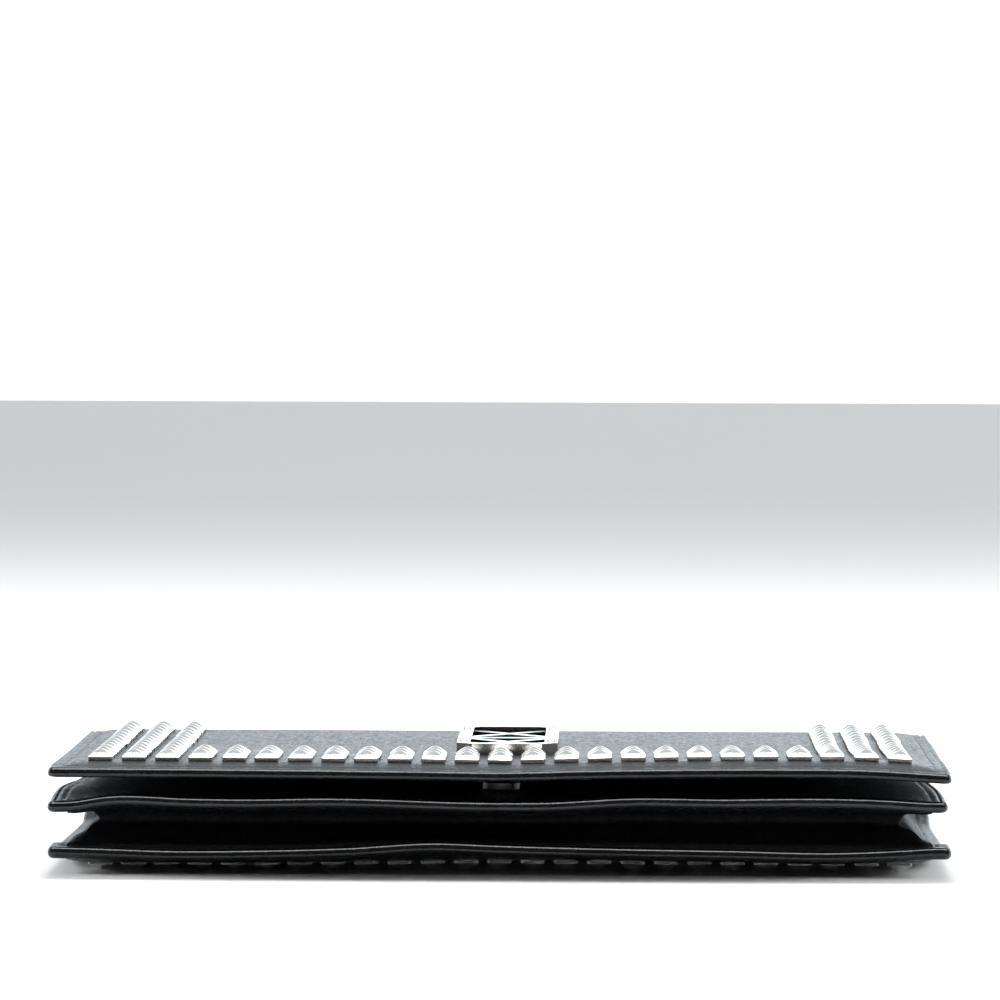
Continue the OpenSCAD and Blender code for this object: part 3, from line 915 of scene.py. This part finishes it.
outermost = {(c, r) for c in (0, STUD_COLUMNS - 1) for r in (0, STUD_ROWS - 1)}
stud_groups = {
    "corners": sorted(outermost),
    "left": [(c, r) for c in range(BORDER) for r in range(STUD_ROWS)],
    "right": [(STUD_COLUMNS - 1 - c, r) for c in range(BORDER) for r in range(STUD_ROWS)],
    "front": [(c, r) for c in range(BORDER, STUD_COLUMNS - BORDER) for r in range(BORDER)],
}
for side, back in (("flap", False), ("back", True)):
    for group, places in stud_groups.items():
        if group != "corners":
            places = [p for p in places if p not in outermost]
        add_studs(f"pyramids_{side}_{group}", places, back, f"studs_{side}_{group}", side)


# ---- Hard parts: the CAD shapes with softened edges ----


def refined(node, body, slot, material, bevel, segments):
    """Copy of a CAD node with merged faces and rounded edges."""
    obj = bpy.data.objects.new(node + "_finished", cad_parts[node].data.copy())
    bpy.context.scene.collection.objects.link(obj)
    bm = bmesh.new()
    bm.from_mesh(obj.data)
    bmesh.ops.remove_doubles(bm, verts=bm.verts, dist=2e-6)
    bmesh.ops.dissolve_limit(bm, angle_limit=math.radians(1.5), verts=bm.verts, edges=bm.edges)
    bm.to_mesh(obj.data)
    bm.free()
    obj.data.materials.clear()
    obj.data.materials.append(material)
    for attribute in list(obj.data.attributes):
        if attribute.name == "custom_normal":
            obj.data.attributes.remove(attribute)
    obj.data.shade_smooth()
    rounder = obj.modifiers.new("round_edges", "BEVEL")
    rounder.width = bevel * MM
    rounder.segments = segments
    rounder.limit_method = "ANGLE"
    rounder.angle_limit = math.radians(38)
    rounder.use_clamp_overlap = True
    normals = obj.modifiers.new("even_normals", "WEIGHTED_NORMAL")
    normals.weight = 60
    apply_modifiers(obj)
    return place(obj, body, slot, node)


# Node, body, slot, material, width of the rounded edges and their segments
HARD_PARTS = [
    ("ornament_frame", "flap", "silver_metal", ORNAMENT_METAL, 0.34, 3),
    ("ornament_lattice", "flap", "silver_metal", ORNAMENT_METAL, 0.24, 3),
    ("ornament_rivets", "flap", "silver_metal", NICKEL, 0.08, 2),
    ("ornament_washers", "flap", "silver_metal", NICKEL, 0.08, 2),
    ("snap_stud", "front", "silver_metal", SHADED_SNAP_METAL, 0.3, 3),
    ("snap_post", "front", "silver_metal", NICKEL, 0.15, 2),
    ("snap_socket", "flap", "silver_metal", SHADED_SNAP_METAL, 0.3, 3),
    ("snap_cap", "flap", "silver_metal", NICKEL, 0.12, 2),
    ("chain_ring_left", "ring_left", "silver_metal", NICKEL, 0.05, 1),
    ("chain_ring_right", "ring_right", "silver_metal", NICKEL, 0.05, 1),
    ("ring_tab_left", "back", "black_leather", SHADED_GUSSET_LEATHER, 0.45, 3),
    ("ring_tab_right", "back", "black_leather", SHADED_GUSSET_LEATHER, 0.45, 3),
    ("zip_tape_lower", "divider", "zip_tape", TAPE, 0.12, 2),
    ("zip_tape_upper", "divider", "zip_tape", TAPE, 0.12, 2),
    ("zip_teeth_lower", "divider", "zip_metal", ZIP_METAL, 0.14, 2),
    ("zip_teeth_upper", "divider", "zip_metal", ZIP_METAL, 0.14, 2),
    ("zip_stops", "divider", "zip_metal", ZIP_METAL, 0.2, 2),
    ("zip_slider", "slider", "zip_metal", ZIP_METAL, 0.2, 2),
    ("zip_pull", "pull", "zip_metal", ZIP_METAL, 0.15, 2),
    ("zip_pocket_lower", "divider", "black_lining", LINING, 0.2, 2),
    ("zip_pocket_upper", "divider", "black_lining", LINING, 0.2, 2),
    ("card_pocket_1", "back", "black_lining", LINING, 0.12, 2),
    ("card_pocket_2", "back", "black_lining", LINING, 0.12, 2),
    ("card_pocket_3", "back", "black_lining", LINING, 0.12, 2),
    ("card_pocket_4", "back", "black_lining", LINING, 0.12, 2),
]
for node, body, slot, material, bevel, segments in HARD_PARTS:
    refined(node, body, slot, material, bevel, segments)


# ---- Gusset ----

GUSSET_THICKNESS = 0.8
GUSSET_SEAM = node_box("gusset_front")[1][0]
GUSSET_DEPTH = 7.6
SEAM_Y = node_box("gusset_front")[0][1]
MOUTH_Y = node_box("gusset_left")[1][1]


def back_top(x, y):
    return shell.point(x, shell.s_of(y, True), False)[..., 2]


def front_bottom(x, y):
    return front.point(x, y - front_low[1], False)[..., 2]


def gusset_section():
    """(u inwards from the seam, share of the height) from the lower to the upper seam."""
    lower = [
        (-0.5, -0.16), (-0.2, -0.07), (0.2, 0.0), (0.8, 0.04),
        (1.8, 0.1), (3.2, 0.21), (4.6, 0.31), (6.0, 0.4),
    ]
    fold = [(7.0, 0.46), (GUSSET_DEPTH, 0.54), (GUSSET_DEPTH + 0.1, 0.64), (GUSSET_DEPTH - 0.2, 0.75)]
    upper = [
        (6.6, 0.86), (5.2, 0.93), (3.6, 0.965), (2.0, 0.985),
        (0.8, 0.99), (0.2, 1.0), (-0.2, 1.07), (-0.5, 1.16),
    ]
    return lower + fold + upper


def gusset_strip(name, kind, node, seed):
    """One side of the accordion: kind is -1 left, 1 right, 0 the near side."""
    section = gusset_section()
    u = np.array([p[0] for p in section])[:, None]
    share = np.array([p[1] for p in section])[:, None]
    stations = 90 if kind else 150
    t = np.linspace(0, 1, stations)[None, :]
    t = 0.5 * t + 0.5 * (1 - (1 - t) ** 2) if kind else t
    inwards = np.maximum(u, 0)
    if kind:
        start, end = MOUTH_Y - 0.5, SEAM_Y + inwards
        y = start + (end - start) * t
        crease = ripple(y, u * 3, 16, seed) * (0.35 + 0.9 * smoothstep((t - 0.8) / 0.2))
        wobble = crease * smoothstep(inwards / 3)
        x = kind * (GUSSET_SEAM - u + 0.7 * wobble)
    else:
        reach = GUSSET_SEAM - inwards
        x = reach * (2 * t - 1)
        near_end = smoothstep((np.abs(2 * t - 1) - 0.85) / 0.15)
        wobble = ripple(x, u * 3, 22, seed) * (0.3 + 0.6 * near_end) * smoothstep(inwards / 3)
        y = SEAM_Y + u + 0.8 * wobble
    probe_x = np.clip(x, -GUSSET_SEAM - 2.2, GUSSET_SEAM + 2.2)
    probe_y = np.clip(y, SEAM_Y - 2.2, MOUTH_Y - 0.6)
    low = back_top(probe_x, probe_y) + GUSSET_THICKNESS / 2 + 0.02
    high = front_bottom(probe_x, probe_y) - GUSSET_THICKNESS / 2 - 0.02
    z = low + (high - low) * share + 0.35 * wobble
    points = np.stack([x + 0 * y, y + 0 * x, z], -1)
    index = np.arange(z.size).reshape(z.shape)
    obj = new_object(name, points.reshape(-1, 3), quads_of(index, flip=kind <= 0).tolist(), SHADED_GUSSET_LEATHER)
    solid = obj.modifiers.new("thickness", "SOLIDIFY")
    solid.thickness = GUSSET_THICKNESS * MM
    solid.offset = 0
    solid.use_even_offset = False
    smooth = obj.modifiers.new("smooth", "SUBSURF")
    smooth.levels = smooth.render_levels = 1
    apply_modifiers(obj)
    obj.data.shade_smooth()
    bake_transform(obj, "back", "front", start=(0, 0, 0.0082), end=(0, 0, 0.0128))
    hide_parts(node)
    return obj


gusset_strip("gusset_fold_left", -1, "gusset_left", 21)
gusset_strip("gusset_fold_right", 1, "gusset_right", 22)
gusset_strip("gusset_fold_front", 0, "gusset_front", 23)


# ---- Floor, light and camera ----


def floor_material():
    s = Shader("pale_floor", Specular_IOR_Level=0.2)
    cloud = s.noise(400.0, 1.0)
    return s.finish(s.colour(cloud, (0.9, 0.9, 0.9), (0.92, 0.92, 0.92)), s.ramp(cloud, 0, 1, 0.6, 0.7))


half_floor = 6000
floor = new_object(
    "floor",
    [(-half_floor, -half_floor, -0.02), (half_floor, -half_floor, -0.02),
     (half_floor, half_floor, -0.02), (-half_floor, half_floor, -0.02)],
    [(0, 1, 2, 3)],
    floor_material(),
)


def add_light(name, kind, power, location, target, size=None, colour=(1, 1, 1)):
    """Lamp in metres and watts, turned to a target; it isn't seen by the camera itself."""
    light = bpy.data.lights.new(name, kind)
    light.energy = power
    light.color = colour
    if kind == "SUN":
        light.angle = size
    else:
        light.shape = "RECTANGLE"
        light.size, light.size_y = size
    obj = bpy.data.objects.new(name, light)
    obj.location = location
    direction = Vector(target) - Vector(location)
    obj.rotation_euler = direction.to_track_quat("-Z", "Y").to_euler()
    obj.visible_camera = False
    bpy.context.scene.collection.objects.link(obj)
    return obj


WARM = (1.0, 0.99, 0.97)
WHITE = (1.0, 1.0, 1.0)
COOL = (0.95, 0.98, 1.0)
KEY_PLACE = (0, 0.82, 1.25)
MIDDLE = (0, 0, 0)

# These lamps make the shadows but aren't reflected
shadow_lamps = [
    add_light("key_light", "SUN", 1.4, KEY_PLACE, MIDDLE, math.radians(8), WARM),
    add_light("wide_strip", "AREA", 16, KEY_PLACE, MIDDLE, (3.0, 0.2), WARM),
    add_light("left_fill", "AREA", 20, (-1.3, 0.35, 0.5), (-0.1, -0.07, 0), (0.5, 0.5)),
    add_light("right_fill", "AREA", 20, (1.3, 0.35, 0.5), (0.1, -0.07, 0), (0.5, 0.5)),
]
for lamp in shadow_lamps:
    lamp.visible_glossy = False

# These panels are what the metal and the edges reflect
mirrored_lamps = [
    add_light("overhead_panel", "AREA", 38, (0, -0.22, 1.2), (0, -0.02, 0), (2.2, 0.7)),
    add_light("back_panel", "AREA", 6, (0, 0.75, 1.0), MIDDLE, (2.6, 1.2), COOL),
]
for lamp in mirrored_lamps:
    lamp.visible_diffuse = False


def build_world():
    """Studio walls: a bright low horizon behind the wallet, paler sides, a dim front.

    The camera itself sees plain white, and only reflections see the front.
    """
    world = bpy.data.worlds.new("studio")
    world.use_nodes = True
    world.node_tree.nodes.clear()
    n = Nodes(world.node_tree)
    split = n.node("ShaderNodeSeparateXYZ")
    n.link(n.node("ShaderNodeTexCoord").outputs["Generated"], split.inputs[0])
    across, ahead, up = split.outputs
    path = n.node("ShaderNodeLightPath")

    def glow(strength, colour):
        background = n.node("ShaderNodeBackground")
        background.inputs["Color"].default_value = (*colour, 1)
        n.feed([strength], [background.inputs["Strength"]])
        return background.outputs["Background"]

    def add(a, b):
        node = n.node("ShaderNodeAddShader")
        n.feed([a, b], node.inputs)
        return node.outputs["Shader"]

    horizon = n.ramp(up, 0.1, 0.62, 2.6, 0.22)
    low = n.maths("MULTIPLY", n.ramp(ahead, 0.0, 0.5), horizon)
    low = n.maths("MULTIPLY", low, n.ramp(across, -0.35, 0.3, 0.72, 1.15))
    sides = n.ramp(n.maths("ABSOLUTE", across), 0.4, 0.75, 0.0, 0.4)
    sides = n.maths("MULTIPLY", sides, n.ramp(ahead, -0.15, 0.25))
    sides = n.maths("MULTIPLY", sides, horizon)
    front_glow = n.maths("MULTIPLY", n.ramp(ahead, -0.5, -0.2, 1.0, 0.0), n.ramp(up, 0.12, 0.3, 0.0, 0.12))
    front_glow = n.maths("MULTIPLY", front_glow, path.outputs["Is Glossy Ray"])
    light = add(glow(low, (0.86, 0.94, 1.0)), glow(sides, (0.93, 0.98, 1.0)))
    light = add(light, glow(front_glow, WHITE))
    mix = n.node("ShaderNodeMixShader")
    n.feed([path.outputs["Is Camera Ray"], light, glow(1.05, WHITE)], mix.inputs)
    output = n.node("ShaderNodeOutputWorld")
    n.link(mix.outputs["Shader"], output.inputs["Surface"])
    bpy.context.scene.world = world


build_world()

camera_data = bpy.data.cameras.new("camera")
camera_data.sensor_width = 36
camera_data.lens = 238.3
camera_data.clip_end = 50
camera = bpy.data.objects.new("camera", camera_data)
camera_place = (0.02775, -1.725, 0.1509)
camera_turn = math.radians(0.961)
camera_down = math.radians(1.964)
camera_roll = math.radians(0.2)
camera.matrix_world = (
    Matrix.Translation(camera_place)
    @ Matrix.Rotation(camera_turn, 4, "Z")
    @ Matrix.Rotation(math.pi / 2 - camera_down, 4, "X")
    @ Matrix.Rotation(camera_roll, 4, "Z")
)
bpy.context.scene.collection.objects.link(camera)
bpy.context.scene.camera = camera
bpy.context.scene.view_settings.view_transform = "Standard"
bpy.context.scene.view_settings.look = "None"
